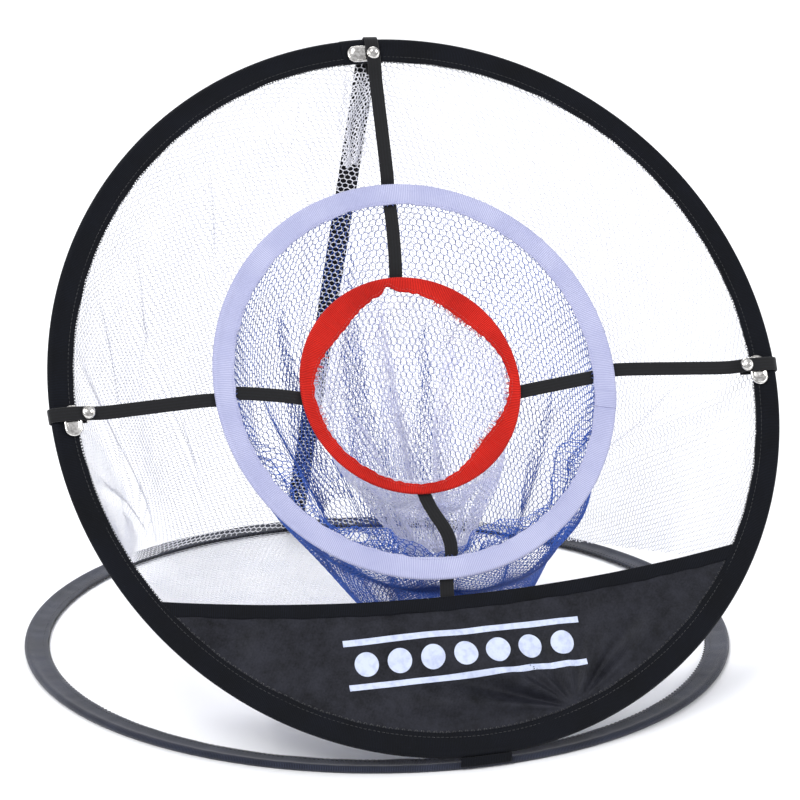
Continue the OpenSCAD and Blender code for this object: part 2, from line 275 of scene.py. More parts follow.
def on_upright(p):
    """Metres, from millimetres in the hoop's plane: across, up the slope from the hoop's
    centre, and out to the front."""
    up, out = HOOP_RADIUS + p[..., 1], 4.5 + p[..., 2]
    return np.stack([p[..., 0], HINGE_Y + up * math.cos(lean) - out * math.sin(lean),
                     HINGE_Z + up * math.sin(lean) + out * math.cos(lean)], -1) * 0.001


hoop_binding = binding("upright_hoop_binding", on_upright, HOOP_RADIUS, hoop_wide, 5.2, 2.3, black_tape,
                       900, 11)
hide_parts("hoop_binding")
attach(hoop_binding, "upright")


def swept(section, angles, swell=None):
    """Rows of points for a section of (radius, height) swept round a ring, its height swollen."""
    swell = np.ones(len(angles)) if swell is None else swell
    return np.array([[(r * math.cos(t), r * math.sin(t), n * grown) for r, n in section]
                     for t, grown in zip(angles, swell)])


swell = np.full(40, 0.9 + 0.45 * 0.22)
swell[[0, 1, 38, 39]] = 0.9 + 0.2 * 0.22
lap = skin("binding_lap", on_upright(swept(
    [(250.4, 0), (249.6, 2.2), (247.4, 3.05), (244.5, 2.6), (241.5, 1.75), (237, 1.7), (233.3, 1.6), (232.8, 0),
     (233.3, -1.6), (237, -1.7), (241.5, -1.75), (244.5, -2.6), (247.4, -3.05), (249.6, -2.2)],
    np.linspace(math.radians(88.2), math.radians(94.2), 40), swell)), False, True, 0.027, 0.04, black_tape,
           caps=True)
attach(lap, "upright")

# ---- Overlock stitching on the two hoops' bindings -------------------------------------
# Polyester thread, sewn zigzag over the tape's cut inner edge so that it can't fray, which
# gives the edge its small teeth, and one straight row that closes the tape on the wire.


def new_tree(name, inputs):
    """A Geometry Nodes tree with named inputs after its geometry: returns it and its input."""
    tree = bpy.data.node_groups.new(name, "GeometryNodeTree")
    tree.interface.new_socket("Geometry", in_out="OUTPUT", socket_type="NodeSocketGeometry")
    tree.interface.new_socket("Geometry", in_out="INPUT", socket_type="NodeSocketGeometry")
    for title, kind in inputs:
        tree.interface.new_socket(title, in_out="INPUT", socket_type="NodeSocket" + kind)
    return tree, add(tree, "NodeGroupInput")


def finish_tree(tree, given, last):
    """Ends a tree: real geometry, smooth faces and the material that it was given."""
    real = add(tree, "GeometryNodeRealizeInstances", {"Geometry": last})
    smooth = add(tree, "GeometryNodeSetShadeSmooth", {"Geometry": (real, "Geometry")})
    finish = add(tree, "GeometryNodeSetMaterial", {
        "Geometry": (smooth, "Geometry"), "Material": (given, "Material")})
    add(tree, "NodeGroupOutput", {"Geometry": (finish, "Geometry")})


def grown(name, points, edges, tree, values, **attributes):
    """Runs a tree on a wire mesh of points in metres, and keeps the result as a plain mesh."""
    mesh = bpy.data.meshes.new(name)
    mesh.from_pydata(np.asarray(points).tolist(), np.asarray(edges).tolist(), [])
    for title, data in attributes.items():
        data = np.asarray(data, np.float32)
        layer = mesh.attributes.new(title, "FLOAT_VECTOR" if data.ndim > 1 else "FLOAT", "POINT")
        layer.data.foreach_set("vector" if data.ndim > 1 else "value", data.ravel())
    piece = linked(name, mesh)
    modifier = piece.modifiers.new("nodes", "NODES")
    modifier.node_group = tree
    for item in tree.interface.items_tree:
        if item.in_out == "INPUT" and item.name in values:
            modifier[item.identifier] = values[item.name]
    shape = bpy.data.meshes.new_from_object(piece.evaluated_get(bpy.context.evaluated_depsgraph_get()))
    piece.modifiers.clear()
    piece.data = shape
    return piece


def ring_edges(count, first=0):
    """The edges that join count points round a ring."""
    k = np.arange(count)
    return np.stack([first + k, first + (k + 1) % count], -1)


sewing, given = new_tree("row_of_stitches", [
    ("Pitch", "Float"), ("Stitch length", "Float"), ("Thread width", "Float"), ("Slant", "Float"),
    ("Material", "Material")])
row = add(sewing, "GeometryNodeMeshToCurve", {"Mesh": (given, "Geometry")})
spaced = add(sewing, "GeometryNodeResampleCurve", {"Curve": (row, "Curve")}, mode="LENGTH")
sewing.links.new(given.outputs["Pitch"], spaced.inputs["Length"])
bead = add(sewing, "GeometryNodeMeshUVSphere", {"Segments": 6, "Rings": 4, "Radius": 0.5})
size = add(sewing, "ShaderNodeCombineXYZ", {
    "X": (given, "Stitch length"), "Y": (given, "Thread width"), "Z": (given, "Thread width")})
heading = add(sewing, "GeometryNodeInputTangent")
face_out = add(sewing, "GeometryNodeInputNamedAttribute", {"Name": "out"}, data_type="FLOAT_VECTOR")
lengthwise = add(sewing, "FunctionNodeAlignRotationToVector", {"Vector": (heading, "Tangent")}, axis="X")
flat_on = add(sewing, "FunctionNodeAlignRotationToVector", {
    "Rotation": (lengthwise, "Rotation"), "Vector": (face_out, "Attribute")}, axis="Z", pivot_axis="X")
index = add(sewing, "GeometryNodeInputIndex")
odd = add(sewing, "ShaderNodeMath", {0: (index, "Index"), 1: 2.0}, operation="MODULO")
side = add(sewing, "ShaderNodeMath", {0: (odd, "Value"), 1: 2.0, 2: -1.0}, operation="MULTIPLY_ADD")
slant = add(sewing, "ShaderNodeMath", {0: (side, "Value"), 1: (given, "Slant")}, operation="MULTIPLY")
swing = add(sewing, "FunctionNodeAxisAngleToRotation", {"Axis": (0, 0, 1), "Angle": (slant, "Value")})
laid = add(sewing, "FunctionNodeRotateRotation", {
    "Rotation": (flat_on, "Rotation"), "Rotate By": (swing, "Rotation")}, rotation_space="LOCAL")
stitches = add(sewing, "GeometryNodeInstanceOnPoints", {
    "Points": (spaced, "Curve"), "Instance": (bead, "Mesh"), "Rotation": (laid, "Rotation"),
    "Scale": (size, "Vector")})
finish_tree(sewing, given, (stitches, "Instances"))


def thread(name, main, shade):
    """Spun polyester sewing thread, 0.5 mm to the turn: painted highlight and shade follow its twist."""
    material, tree, shader = new_material(name, Roughness=0.6, **{"Sheen Weight": 0.3})
    where = add(tree, "ShaderNodeTexCoord")
    ply = add(tree, "ShaderNodeTexWave", {"Vector": (where, "Object"), "Scale": 600.0, "Distortion": 2.0},
              bands_direction="DIAGONAL")
    # Painted highlight and shade: the colour goes light and dark along the twist
    dress(tree, shader, (ply, "Fac"), shade, main, 0.0, 1.0, (ply, "Fac"), 0.1, 0.5)
    return material


def stitched_ring(name, place, radius, out_mm, material, pitch, length, width, slant_deg, body, both=True):
    """Rows of stitches round a ring, on its front and its back."""
    turn = np.linspace(0, 2 * math.pi, 360, endpoint=False)
    r = radius(turn) if callable(radius) else radius + 0 * turn
    rows = []
    for way in (1, -1) if both else (1,):
        high = (out_mm + 0 * turn) * way
        rows.append(place(np.stack([r * np.cos(turn), r * np.sin(turn), high], -1)))
    face = place(np.array([0.0, 0, 1])) - place(np.array([0.0, 0, 0]))
    points = np.concatenate(rows)
    edges = np.concatenate([ring_edges(360, 360 * k) for k in range(len(rows))])
    piece = grown(name, points, edges, sewing, {
        "Pitch": pitch / 1000, "Stitch length": length / 1000, "Thread width": width / 1000,
        "Slant": math.radians(slant_deg), "Material": material}, out=np.tile(face * 1000, (len(points), 1)))
    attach(piece, body)


# Black spun polyester: matt, a little lighter than the tape where the twist catches light
black_thread = thread("black_spun_polyester", "12141B", "06070A")
for title, place, body in [("base", on_base, "base"), ("hoop", on_upright, "upright")]:
    stitched_ring(title + "_overlock", place, 233.5, 0.35, black_thread, 2.1, 3.2, 0.8, 62, body)
    stitched_ring(title + "_seam", place, 236.6, 1.22, black_thread, 3.0, 2.3, 0.45, 0, body)

# ---- Spring wires and their ferrules ---------------------------------------------------
# Drawn carbon-steel wire, 2.2 mm in the hoops and 1.6 mm in the rings, inside the bindings.
# A brass sleeve is crimped over the two ends of each.


def drawn_metal(name, main, shade, rough, along):
    """Bare metal: fine lengthwise die lines, and a slightly darker, duller film in patches."""
    material, tree, shader = new_material(name, Metallic=1.0, Roughness=rough)
    where = add(tree, "ShaderNodeTexCoord")
    film = add(tree, "ShaderNodeTexNoise", {"Vector": (where, "Object"), "Scale": 120.0, "Detail": 6.0})
    lines = add(tree, "ShaderNodeTexNoise", {"Vector": (where, "Object"), "Scale": along, "Detail": 3.0})
    dress(tree, shader, (film, "Fac"), shade, main, 0.3, 0.6, (lines, "Fac"), 0.05, 0.4)
    return material


# Drawn spring steel: bright grey with a dull oily film
spring_steel = drawn_metal("drawn_spring_steel", "B4B7BB", "85888E", 0.34, 1500.0)
# Crimped brass: warm yellow, duller where the crimping tool pressed it
crimped_brass = drawn_metal("crimped_brass", "C9A55A", "9C7B3C", 0.38, 700.0)
for name in ("base", "hoop", "middle", "inner"):
    for part, metal in ((name + "_wire", spring_steel), (name + "_ferrule", crimped_brass)):
        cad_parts[part].data.materials.clear()
        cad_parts[part].data.materials.append(metal)

# ---- Hinge tape ------------------------------------------------------------------------
# A short piece of the same black tape, sewn to the front of both hoops. It is the hinge: it
# lets the upright hoop fold down flat onto the base hoop.


def bend_with_fold(piece):
    """Cloth sewn to both hoops: bakes the piece's place into its mesh and reads its points, but turns none of them."""
    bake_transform(piece)
    places = np.empty(len(piece.data.vertices) * 3)
    piece.data.vertices.foreach_get("co", places)
    places = places.reshape(-1, 3)


rows = []
for t in np.radians(-90 + np.linspace(-3.9, 3.9, 30)):
    rows.append([(r * math.cos(t), r * math.sin(t), z + 0.12 * math.sin(40 * t)) for r, z in
                 [(251.0, 2.5), (251.6, 3.2), (251.75, 6), (251.6, 8.8), (251.1, 9.4), (250.95, 6)]])
hinge = skin("front_hinge_tape", np.array(rows) * 0.001, False, True, 0.034, 0.016, black_tape, caps=True)
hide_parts("hinge_tape")
bend_with_fold(hinge)

# ---- Middle ring -----------------------------------------------------------------------
# A lilac polyester tape folded over a thinner wire, 15 mm wide, with a fine crosswise rib.
# The net is sewn in with the hem, and the tape's ends lap beside the right strap.


MIDDLE_RADIUS = 138


def on_middle(p):
    """Metres, from millimetres round the middle ring's centre."""
    return on_upright(p + np.array([-3, 6, 0]))


# Lilac polyester petersham: pale and matt, its ribs lighter than their grooves, which carry painted shade
lilac_tape = ribbed_tape("lilac_polyester_petersham", "BCBED7", "9B9EC0", 1.3, 0.2, 0.05)


def middle_wide(t):
    """The lilac binding's width round the ring, which its maker didn't hold quite even."""
    return 15.0 + 0.5 * np.sin(3 * t + 1.0)


middle_ring = binding("lilac_ring_binding", on_middle, MIDDLE_RADIUS, middle_wide, 3.9, 1.7, lilac_tape, 720, 21, 0.45)
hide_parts("middle_binding")
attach(middle_ring, "middle_ring")

middle_lap = skin("lilac_ring_lap", on_middle(swept(
    [(138.3, 0), (137.6, 1.7), (136, 2.35), (133.6, 1.9), (130, 1.3), (125, 1.25), (123.2, 0.9), (122.9, 0),
     (123.2, -0.9), (125, -1.25), (130, -1.3), (133.6, -1.9), (136, -2.3), (137.6, -1.7)],
    np.radians(np.linspace(-14, -9, 24)))), False, True, 0.012, 0.036, lilac_tape, caps=True)
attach(middle_lap, "middle_ring")

# Lilac spun polyester: the stitches read as small grey dots on the tape
lilac_thread = thread("lilac_spun_polyester", "C6C8E6", "8E93BE")
stitched_ring("lilac_ring_seam", on_middle, lambda t: MIDDLE_RADIUS - middle_wide(t) + 1.6, 1.0, lilac_thread,
              2.6, 1.9, 0.5, 0, "middle_ring")
# Royal-blue overlock where the blue net is caught in the hem
blue_thread = thread("blue_spun_polyester", "3F57A6", "1E2F6B")
stitched_ring("lilac_ring_overlock", on_middle, lambda t: MIDDLE_RADIUS - middle_wide(t) - 0.1, -0.3,
              blue_thread, 3.4, 2.6, 0.6, 55, "middle_ring", both=False)

# ---- Inner ring ------------------------------------------------------------------------
# The smallest ring, in red tape. Its hem is pulled in by the four straps sewn behind it, so
# it is narrow there and wide between them, with puckers and a few frayed cut ends.


INNER_RADIUS = 75.5


def on_inner(p):
    """Metres, from millimetres round the inner ring's centre."""
    return on_upright(p + np.array([-8, 2, 0]))


def red_wide(t):
    """The red hem's width, from eight widths round the ring, from the right strap."""
    widths = np.array([7.4, 15.8, 10.4, 18.6, 9.6, 9.0, 7.0, 15.2])
    at = (np.asarray(t) % (2 * math.pi)) / (2 * math.pi) * 8
    k = at.astype(int) % 8
    part = at - at.astype(int)
    ease = part * part * (3 - 2 * part)
    wide = widths[k] * (1 - ease) + widths[(k + 1) % 8] * ease
    notch = 4.6 * np.exp(-((np.asarray(t) - math.radians(94)) / 0.06) ** 2)
    return wide - notch + 0.35 * waves(np.asarray(t), (31, 47, 66), 5)


# Bright red polyester taffeta tape: saturated, faintly glossy on the ribs
red_tape = ribbed_tape("red_polyester_petersham", "DE2B1F", "96120C", 1.2, 0.3, 0.05)
inner_ring = binding("red_ring_binding", on_inner, INNER_RADIUS, red_wide, 3.9, 1.7, red_tape, 720, 31, 0.3, 2.6)
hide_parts("inner_binding")
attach(inner_ring, "inner_ring")

red_thread = thread("red_spun_polyester", "D22A20", "8E1410")
stitched_ring("red_ring_seam", on_inner, lambda t: INNER_RADIUS - red_wide(t) + 1.9, 1.05, red_thread,
              2.4, 1.8, 0.5, 0, "inner_ring")

fringe, given = new_tree("frayed_ends", [("Thread width", "Float"), ("Material", "Material")])
ends = add(fringe, "GeometryNodeMeshToCurve", {"Mesh": (given, "Geometry")})
round_thread = add(fringe, "GeometryNodeCurvePrimitiveCircle", {"Resolution": 4, "Radius": (given, "Thread width")})
strands = add(fringe, "GeometryNodeCurveToMesh", {
    "Curve": (ends, "Curve"), "Profile Curve": (round_thread, "Curve"), "Fill Caps": True})
finish_tree(fringe, given, (strands, "Mesh"))

dice = np.random.RandomState(8)
points, edges = [], []
for start, end, count in [(28, 66, 70), (-58, -22, 46), (-14, 8, 22), (152, 176, 20), (-172, -150, 14)]:
    for t in np.radians(dice.uniform(start, end, count)):
        r = INNER_RADIUS - float(red_wide(t)) + 0.3
        reach, drift, lift = dice.uniform(0.9, 3.8), dice.uniform(-0.02, 0.02), dice.uniform(-0.6, 0.9)
        first = len(points)
        for step in range(4):
            s = step / 3
            rr, tt = r - reach * s, t + drift * s * s
            points.append((rr * math.cos(tt), rr * math.sin(tt), lift * s + 0.3))
        edges += [(first + k, first + k + 1) for k in range(3)]
frayed = grown("red_ring_frayed_ends", on_inner(np.array(points)), edges, fringe, {
    "Thread width": 0.0002, "Material": red_thread})
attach(frayed, "inner_ring")

# ---- Front panel -----------------------------------------------------------------------
# Black nylon taffeta, sewn into the hoop's hem below the tape. It is cut a little full, so
# soft creases run out from the lower right, where the cloth was caught in the seam.
TAPE_SAG, TAPE_HALF, TAPE_MID = 15.0, 191.3, -148.0
tape_radius = (TAPE_HALF ** 2 + TAPE_SAG ** 2) / (2 * TAPE_SAG)


def tape_line(x):
    """Height of the tape's middle line in the hoop's plane."""
    return TAPE_MID + tape_radius - np.sqrt(tape_radius ** 2 - x ** 2)


def panel_out(x, v):
    """How far the panel's cloth stands out from the hoop's plane."""
    dx, dv = x - 66, v + 226
    far = np.hypot(dx, dv) + 1e-6
    angle = np.degrees(np.arctan2(dv, dx))
    rise = 0
    for at, wide, high, reach in [(172, 5, 1.5, 130), (160, 4.5, -1.2, 110), (148, 6, 1.7, 90), (131, 5, 1.1, 70),
                                  (112, 6, -0.9, 55), (92, 7, 1.0, 50), (66, 7, 1.2, 60), (48, 5, -1.1, 75),
                                  (36, 5, 1.5, 95), (24, 4, 0.9, 80)]:
        ray = np.exp(-((angle - at) / wide) ** 2) * np.exp(-(far / reach) ** 2)
        rise = rise + 3.6 * high * ray * (1 - np.exp(-far / 14))
    rise = rise + 1.5 * np.sin(x / 31 + 0.6) * np.sin((v + 230) / 17) + 0.8 * np.sin(x / 13 + v / 21)
    rise = rise + 0.35 * np.sin(x / 6.1 - v / 9.3) * np.sin(x / 23 + 2)
    edge = np.clip((232.6 - np.hypot(x, v)) / 14, 0, 1) * np.clip((tape_line(x) - 4.6 - v) / 12, 0, 1)
    return rise * edge * (2 - edge)


# Nylon taffeta, black: a fine plain weave, drawn at 0.9 mm so that it shows, its hollows painted
# darker as shade, and grey patches of painted sheen across the cloth
taffeta, tree, shader = new_material("black_nylon_taffeta", Roughness=0.55, **{
    "Sheen Weight": 0.0, "Sheen Roughness": 0.35, "Specular IOR Level": 0.16})
uv = add(tree, "ShaderNodeUVMap", uv_map="Cloth")
weave = [add(tree, "ShaderNodeTexWave", {"Vector": (uv, "UV"), "Scale": WAVE_OF_ONE / 0.0009, "Distortion": 0.8},
             bands_direction=way) for way in ("X", "Y")]
where = add(tree, "ShaderNodeTexCoord")
# Painted sheen: grey patches where the cloth would catch the light
painted_sheen_patches = add(tree, "ShaderNodeTexNoise", {
    "Vector": (where, "Object"), "Scale": 55.0, "Detail": 8.0, "Roughness": 0.75})
grain = add(tree, "ShaderNodeTexNoise", {"Vector": (where, "Object"), "Scale": 700.0, "Detail": 3.0})
cross = add(tree, "ShaderNodeMath", {0: (weave[0], "Fac"), 1: (weave[1], "Fac")}, operation="MULTIPLY")
# The weave's painted shade and the painted sheen, mixed into one tone
weave_and_painted_sheen = add(tree, "ShaderNodeMath", {
    0: (cross, "Value"), 1: 0.22, 2: (painted_sheen_patches, "Fac")}, operation="MULTIPLY_ADD")
speckled = add(tree, "ShaderNodeMath", {
    0: (grain, "Fac"), 1: 0.35, 2: (weave_and_painted_sheen, "Value")}, operation="MULTIPLY_ADD")
dress(tree, shader, (speckled, "Value"), "040508", "272830", 0.48, 0.9, (speckled, "Value"), 0.25, 0.6)

across, down = np.linspace(-190.4, 190.4, 260), np.linspace(0, 1, 84)
top = tape_line(across) - 4.0
bottom = -np.sqrt(233.8 ** 2 - across ** 2)
x = np.repeat(across[:, None], 84, 1)
v = top[:, None] * (1 - down) + bottom[:, None] * down
out = panel_out(x, v)
front = np.stack([x, v, out + 0.3], -1)
back = np.stack([x, v, out - 0.3], -1)
panel = skin("front_panel_cloth", on_upright(np.concatenate([front, back[:, ::-1]], 1)), False, True, 0.373, 0.2,
             taffeta, caps=True)
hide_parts("front_panel")
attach(panel, "upright")

# ---- Tape along the panel's top edge ---------------------------------------------------
# The binding tape again, folded over the panel's raw top edge and sewn from hoop to hoop.
x = np.linspace(-196.0, 196.0, 240)
v = tape_line(x)
slope = np.gradient(v, x)
up = np.stack([-slope, np.ones_like(slope)], -1) / np.sqrt(1 + slope ** 2)[:, None]
ripple = 0.25 * np.sin(x / 7.3) + 0.2 * np.sin(x / 3.1 + 1)
thin = 1 - 0.3 * np.clip((np.abs(x) - 188) / 5, 0, 1)
rows = []
for a, n in [(4.75, 0), (4.5, 0.8), (3.4, 1.15), (0, 1.0), (-3.4, 0.95), (-4.6, 0.7), (-4.8, 0), (-4.6, -0.7),
             (-3.4, -0.95), (0, -1.0), (3.4, -1.15), (4.5, -0.8)]:
    rows.append(np.stack([x + up[:, 0] * a, v + up[:, 1] * (a + ripple * (a < 0)),
                          n * thin + 0.12 * np.sin(x / 9)], -1))
tape = skin("panel_top_tape", on_upright(np.stack(rows, 1)), False, True, 0.366, 0.02, black_tape, caps=True)
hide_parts("panel_tape")
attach(tape, "upright")

# ---- Print on the panel ----------------------------------------------------------------
# A plain screen print, a row of discs between two bars, in a soft off-white ink that lies
# on the cloth and follows its creases.

# Plastisol ink: slightly rubbery off-white with a lilac cast, showing the weave beneath
ink, tree, shader = new_material("off_white_plastisol_ink", Roughness=0.55)
where = add(tree, "ShaderNodeTexCoord")
patchy = add(tree, "ShaderNodeTexNoise", {"Vector": (where, "Object"), "Scale": 260.0, "Detail": 5.0})
dress(tree, shader, (patchy, "Fac"), "A9B2CE", "C3CCE4", 0.25, 0.55, (patchy, "Fac"), 0.3, 0.5)

shape = bmesh.new()


def ink_patch(grid):
    """A raised patch of ink on the cloth, over a grid of places across and up the panel."""
    rows, cols = grid.shape[:2]
    layers = []
    for lift in (0.34, 0.48):
        out = panel_out(grid[..., 0], grid[..., 1]) + lift
        places = on_upright(np.concatenate([grid, out[..., None]], -1))
        layers.append([[shape.verts.new(p) for p in line] for line in places])
    low, high = layers
    for a in range(rows - 1):
        for b in range(cols - 1):
            shape.faces.new((high[a][b], high[a + 1][b], high[a + 1][b + 1], high[a][b + 1]))
            shape.faces.new((low[a][b], low[a][b + 1], low[a + 1][b + 1], low[a + 1][b]))
    rim = [(a, 0) for a in range(rows)] + [(rows - 1, b) for b in range(1, cols)]
    rim += [(a, cols - 1) for a in range(rows - 2, -1, -1)] + [(0, b) for b in range(cols - 2, 0, -1)]
    for (a, b), (c, d) in zip(rim, rim[1:] + rim[:1]):
        shape.faces.new((low[a][b], low[c][d], high[c][d], high[a][b]))


for k in range(7):
    side = np.linspace(-1, 1, 11)
    a, b = np.meshgrid(side, side, indexing="ij")
    disc = np.stack([a * np.sqrt(1 - b * b / 2), b * np.sqrt(1 - a * a / 2)], -1) * 8.0
    ink_patch(disc + np.array([-2 + (k - 3) * 22, TAPE_MID - 34]))
for side in (-14.5, 14.5):
    a, b = np.meshgrid(np.linspace(-82, 78, 81), np.linspace(-2, 2, 4), indexing="ij")
    ink_patch(np.stack([a, b + TAPE_MID - 34 + side], -1))
bmesh.ops.recalc_face_normals(shape, faces=shape.faces)
mesh = bpy.data.meshes.new("panel_print_ink")
shape.to_mesh(mesh)
shape.free()
printed = linked("panel_print_ink", mesh, ink)
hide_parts("panel_print")
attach(printed, "upright")

# ---- Elastic straps --------------------------------------------------------------------
# Knitted black elastic, 9.5 mm wide. Three go round the hoop and are closed on themselves
# by a press stud; each is sewn behind the middle ring, and four more go on to the red ring.

# Knitted elastic: matt black with fine lengthwise ribs, drawn at 1.2 mm so that they show; their hollows are painted
# darker as shade
elastic, tree, shader = new_material("knitted_black_elastic", Roughness=0.8, **{
    "Sheen Weight": 0.25, "Specular IOR Level": 0.25})
uv = add(tree, "ShaderNodeUVMap", uv_map="Cloth")
rib = add(tree, "ShaderNodeTexWave", {"Vector": (uv, "UV"), "Scale": WAVE_OF_ONE / 0.0012, "Distortion": 0.5},
          bands_direction="Y")
pick = add(tree, "ShaderNodeTexWave", {"Vector": (uv, "UV"), "Scale": WAVE_OF_ONE / 0.0008, "Distortion": 1.0})
cross = add(tree, "ShaderNodeMath", {0: (rib, "Fac"), 1: (pick, "Fac")}, operation="MULTIPLY")
# Painted shade: the colour is darker in the hollows of the ribs and the knit
dress(tree, shader, (cross, "Value"), "040406", "0D0F16", 0.0, 1.0, (cross, "Value"), 0.12, 0.5)


def smooth_path(points, steps):
    """A rounded path through points, evenly spaced."""
    points = np.array(points, float)
    for _ in range(3):
        cut = np.stack([points[:-1] * 0.75 + points[1:] * 0.25, points[:-1] * 0.25 + points[1:] * 0.75], 1)
        points = np.concatenate([points[:1], cut.reshape(-1, points.shape[1]), points[-1:]])
    along = np.concatenate([[0], np.cumsum(np.linalg.norm(np.diff(points, axis=0), axis=1))])
    even = np.linspace(0, along[-1], steps)
    return np.stack([np.interp(even, along, points[:, k]) for k in range(points.shape[1])], -1), along[-1]


def ribbon(name, path, side, wide, thick, material, steps):
    """A flat strap along a path in millimetres, with its width along side, in metres."""
    middle, length = smooth_path(path, steps)
    ahead = np.gradient(middle, axis=0)
    ahead /= np.linalg.norm(ahead, axis=1)[:, None]
    side = np.broadcast_to(np.array(side, float), middle.shape)
    out = np.cross(ahead, side)
    out /= np.linalg.norm(out, axis=1)[:, None]
    across = np.cross(out, ahead)
    section = [(-0.5, 0), (-0.48, 0.4), (-0.4, 0.5), (-0.13, 0.5), (0.13, 0.5), (0.4, 0.5), (0.48, 0.4), (0.5, 0),
               (0.48, -0.4), (0.4, -0.5), (0.13, -0.5), (-0.13, -0.5), (-0.4, -0.5), (-0.48, -0.4)]
    rows = [middle + across * (wide * a) + out * (thick * b) for a, b in section]
    return skin(name, on_upright(np.stack(rows, 1)), False, True, length / 1000, 2 * wide / 1000, material, caps=True)


# Where the press studs close the top, left and right straps
STUDS = [(3.4, 238), (-225.7, 0.3), (228.4, -5.3)]
STRAP_WIDE, STRAP_THICK = 9.4, 1.05

ring_ends = [(0.0, 144.0), (-141.0, 3.5), (134.5, 1.0)]
for name, at_hoop, at_ring in zip(("top", "left", "right"), STUDS, ring_ends):
    at_hoop, at_ring = np.array(at_hoop), np.array(at_ring)
    outward = at_hoop / np.linalg.norm(at_hoop)
    inward = (at_ring - at_hoop) / np.linalg.norm(at_ring - at_hoop)
    path = []
    for r, n in [(226, -3.2), (234, -3.5), (246, -3.7), (250.2, -3.0), (251.2, 0), (250.6, 3.0), (247.6, 4.6),
                 (241, 4.75), (233, 4.6), (227, 3.4), (222, 1.3), (214, 0.3)]:
        path.append((*(outward * r), n))
    for done, n in [(0.35, 0.0), (0.7, -0.2), (0.93, -1.0), (1.0, -2.7), (1.08, -2.75)]:
        path.append((*(outward * 214 * (1 - done) + at_ring * done), n))
    side = np.array([-inward[1], inward[0], 0])
    strap = ribbon(name + "_elastic_strap", path, side, STRAP_WIDE, STRAP_THICK, elastic, 180)
    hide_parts("strap_" + name)
    start, end = on_upright(np.append(outward * 215, 0)), on_upright(np.append(at_ring, 0))
    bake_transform(strap)

strap = ribbon("bottom_elastic_strap", [
    (-7.2, -146.5, -2.2), (-7.0, -143, -1.9), (-6.2, -138, -2.7), (-5.4, -132, -2.7), (-4.9, -128, -2.6)],
               (1, 0.1, 0), STRAP_WIDE, STRAP_THICK, elastic, 40)
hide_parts("strap_bottom")
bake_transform(strap)

ring_straps = [
    ("top", [(-0.6, 136, -2.8), (-1, 128, -2.3), (-1.6, 118, -1.2), (-3.3, 98, -0.5), (-4.8, 84, -0.6),
             (-5.4, 77, -2.6), (-5.8, 70, -2.7)]),
    ("left", [(-138, 7.6, -2.8), (-128, 6.9, -2.2), (-118, 5.6, -1.0), (-100, 2.6, -0.5), (-90, 0.8, -0.9),
              (-83, -0.4, -2.7), (-76, -1.2, -2.7)]),
    ("right", [(130, -1.2, -2.8), (122, -2.6, -2.3), (110, -4.2, -1.0), (88, -6.8, -0.4), (74, -8.2, -0.9),
               (67, -8.8, -2.7), (60, -9.2, -2.7)]),
    ("bottom", [(-11.5, -66, -2.7), (-10.8, -72, -2.7), (-9.6, -79, -1.6), (-6.6, -89, 1.5), (-2.2, -99, 3.2),
                (0.6, -108, 1.2), (0.4, -117, -1.8), (-0.5, -124, -2.7), (-1.6, -130, -2.8)])]
for name, path in ring_straps:
    ends = np.array(path)[[0, -1], :2]
    run = ends[1] - ends[0]
    strap = ribbon(name + "_inner_elastic", path, (-run[1], run[0], 0), 9.2, 1.0, elastic, 90)
    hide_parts("inner_strap_" + name)
    first, last = (path[-2], path[1]) if name == "bottom" else (path[1], path[-2])
    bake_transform(strap)

# ---- Press studs and keepers -----------------------------------------------------------
# Pressed brass, nickel-plated. A domed cap in front and a stud behind close each strap on
# the hoop, and an oval dished keeper with a rolled rim holds it to the binding.

# Bright nickel plate: a warm silver mirror, softened by fine scratches and fingermarks
nickel, tree, shader = new_material("bright_nickel_plate", Metallic=1.0, Roughness=0.18)
where = add(tree, "ShaderNodeTexCoord")
marks = add(tree, "ShaderNodeTexNoise", {"Vector": (where, "Object"), "Scale": 400.0, "Detail": 6.0})
duller = add(tree, "ShaderNodeMapRange", {"Value": (marks, "Fac"), "To Min": 0.12, "To Max": 0.3})
tree.links.new(duller.outputs["Result"], shader.inputs["Roughness"])
dents = add(tree, "ShaderNodeTexNoise", {"Vector": (where, "Object"), "Scale": 260.0, "Detail": 2.0})
dress(tree, shader, (marks, "Fac"), "A9A6A2", "E4E2DE", 0.3, 0.62, (dents, "Fac"), 0.3, 0.35)


def pressed(name, places, half_long, half_wide, profile):
    """Pressed metal shapes at places of a centre and a heading. The profile is (share of the
    outline, height) from the middle of one face round to the middle of the other."""
    sides = 48
    turn = np.linspace(0, 2 * math.pi, sides, endpoint=False)
    straight = half_long - half_wide
    verts, faces = [], []
    for centre, heading in places:
        flat_x = half_wide * np.cos(turn)
        flat_y = half_wide * np.sin(turn) + straight * np.sign(np.round(np.sin(turn), 9))
        along = np.array(heading, float)
        across = np.array([-along[1], along[0]])
        first = len(verts)
        for share, high in profile:
            spot = centre[:2] + (flat_x * share)[:, None] * across + (flat_y * share)[:, None] * along
            verts += list(np.concatenate([spot, np.full((sides, 1), centre[2] + high)], 1))
        for a in range(len(profile) - 1):
            for b in range(sides):
                faces.append([first + a * sides + b, first + (a + 1) * sides + b,
                              first + (a + 1) * sides + (b + 1) % sides, first + a * sides + (b + 1) % sides])
        faces.append([first + b for b in range(sides)])
        faces.append([first + (len(profile) - 1) * sides + b for b in range(sides)][::-1])
    mesh = bpy.data.meshes.new(name)
    mesh.from_pydata(on_upright(np.array(verts)).tolist(), [], faces)
    face_outward(mesh)
    mesh.polygons.foreach_set("use_smooth", [len(p.vertices) < 5 for p in mesh.polygons])
    piece = linked(name, mesh, nickel)
    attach(piece, "upright")
    return piece


